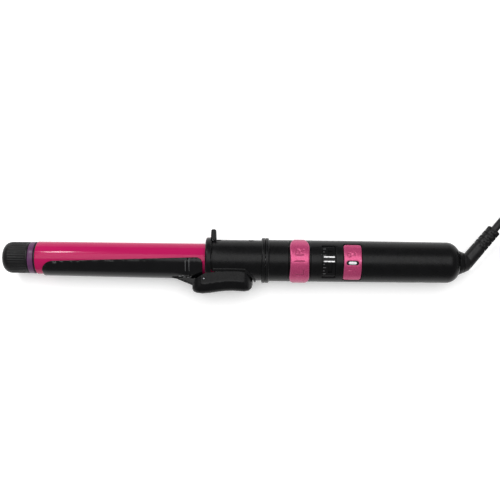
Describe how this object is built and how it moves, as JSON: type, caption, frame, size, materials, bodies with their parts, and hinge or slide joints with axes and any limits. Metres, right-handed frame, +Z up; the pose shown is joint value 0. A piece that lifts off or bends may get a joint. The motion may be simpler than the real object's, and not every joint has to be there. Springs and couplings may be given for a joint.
{
  "type": "automatic hair curler",
  "caption": "Automatic hair curler: motor-turned heated barrel with a spring clamp and thumb lever, round handle with rocker and slide controls, and a coiled mains cord on a swivel.",
  "frame": {"origin": "bottom centre of the curler's own box, without the cord: on the table, half way along from the tip to the end of the strain relief", "axes": "+X along the barrel from the cool tip to the cord, +Z up towards the controls, +Y towards the rest fin, away from the thumb lever"},
  "size_m": [0.4962, 0.093, 0.036],
  "materials": {
    "black_satin_plastic": "satin, fine grain",
    "black_matte_plastic": "matt, moulded",
    "black_rubber": "matt, flexible",
    "clamp_gloss_black": "gloss black over sheet steel",
    "barrel_pink": "gloss hot pink ceramic coat on aluminium tube",
    "pearl_pink_plastic": "pearlescent",
    "purple_clear_plastic": "dark translucent",
    "window_gloss_black": "gloss",
    "lens_clear": "clear, moulded",
    "heater_ceramic": "sintered ceramic",
    "aluminium_raw": "extruded",
    "steel_bright": "bright",
    "plated_brass": "nickel plated",
    "brass_bare": "bare",
    "carbon_brush": "pressed carbon",
    "natural_plastic": "heat resistant, natural",
    "board": "epoxy board with parts",
    "lead_sleeve": "woven glass sleeve"
  },
  "bodies": {
    "cord_set": {"swivel_collar": "black_satin_plastic", "strain_relief": "black_rubber", "cord_lead": "black_rubber", "cord_coil": "black_rubber", "cord_tail": "black_rubber", "plug_body": "black_rubber", "plug_pin_live": "plated_brass", "plug_pin_neutral": "plated_brass"},
    "handle": {"handle_shell_upper": "black_satin_plastic", "handle_shell_lower": "black_satin_plastic", "handle_screw_1": "steel_bright", "handle_screw_2": "steel_bright", "handle_screw_3": "steel_bright", "handle_screw_4": "steel_bright", "front_bearing": "natural_plastic", "rear_bearing": "natural_plastic", "gearmotor": "steel_bright", "motor_bracket": "steel_bright", "brush_live": "carbon_brush", "brush_neutral": "carbon_brush", "brush_block": "black_matte_plastic", "control_board": "board", "window_plate": "window_gloss_black"},
    "head": {"tip_cap": "black_matte_plastic", "tip_ring": "purple_clear_plastic", "tip_bush": "black_matte_plastic", "barrel_tube": "barrel_pink", "heater_plate": "heater_ceramic", "heat_spreader_upper": "aluminium_raw", "heat_spreader_lower": "aluminium_raw", "temperature_sensor": "heater_ceramic", "thermal_fuse": "steel_bright", "heater_leads": "lead_sleeve", "barrel_bush": "natural_plastic", "head_sleeve": "black_satin_plastic", "sleeve_carrier": "natural_plastic", "sleeve_screw_front": "steel_bright", "sleeve_screw_rear": "steel_bright", "hinge_bracket": "steel_bright", "bracket_screw": "steel_bright", "hinge_pin": "steel_bright", "spindle": "steel_bright", "spindle_screw_left": "steel_bright", "spindle_screw_right": "steel_bright", "spindle_gear": "natural_plastic", "slip_ring_drum": "natural_plastic", "slip_ring_live": "brass_bare", "slip_ring_neutral": "brass_bare"},
    "clamp": {"clamp_plate": "clamp_gloss_black", "lever_pad": "black_satin_plastic", "lever_rivet_front": "steel_bright", "lever_rivet_rear": "steel_bright", "clamp_spring": "steel_bright"},
    "direction_button": {"direction_button": "pearl_pink_plastic"},
    "temperature_slider": {"temperature_slider": "black_satin_plastic"},
    "power_rocker": {"power_rocker": "pearl_pink_plastic", "indicator_lens": "lens_clear"},
    "motor_pinion": {"motor_pinion": "brass_bare"}
  },
  "joints": [
    {"name": "cord_swivel", "type": "hinge", "parent": "cord_set", "child": "handle", "pos_m": [0.16011, -0.00169, 0.018], "axis": [1, 0, 0], "continuous": true},
    {"name": "barrel_spin", "type": "hinge", "parent": "handle", "child": "head", "pos_m": [0.01011, -0.00169, 0.018], "axis": [1, 0, 0], "continuous": true},
    {"name": "clamp_open", "type": "hinge", "parent": "head", "child": "clamp", "pos_m": [-0.03779, -0.01619, 0.018], "axis": [0, 0, 1], "range_deg": [0, 12], "stiffness_Nm_per_rad": 0.53, "springref_deg": -12.95, "deforming": ["clamp_spring"]},
    {"name": "direction_turn", "type": "hinge", "parent": "handle", "child": "direction_button", "pos_m": [0.03686, -0.00169, 0.018], "axis": [1, 0, 0], "range_deg": [-8, 8], "stiffness_Nm_per_rad": 0.08},
    {"name": "temperature_slide", "type": "hinge", "parent": "handle", "child": "temperature_slider", "pos_m": [0.05971, -0.00169, 0.018], "axis": [1, 0, 0], "range_deg": [-22, 35]},
    {"name": "power_rock", "type": "hinge", "parent": "handle", "child": "power_rocker", "pos_m": [0.07821, -0.00259, 0.026], "axis": [1, 0, 0], "range_deg": [-2.5, 2.5]},
    {"name": "pinion_spin", "type": "hinge", "parent": "handle", "child": "motor_pinion", "pos_m": [0.03961, -0.00169, 0.01], "axis": [1, 0, 0], "continuous": true}
  ],
  "couplings": [
    {"joint": "pinion_spin", "follows": "barrel_spin", "ratio": -1.6667}
  ]
}
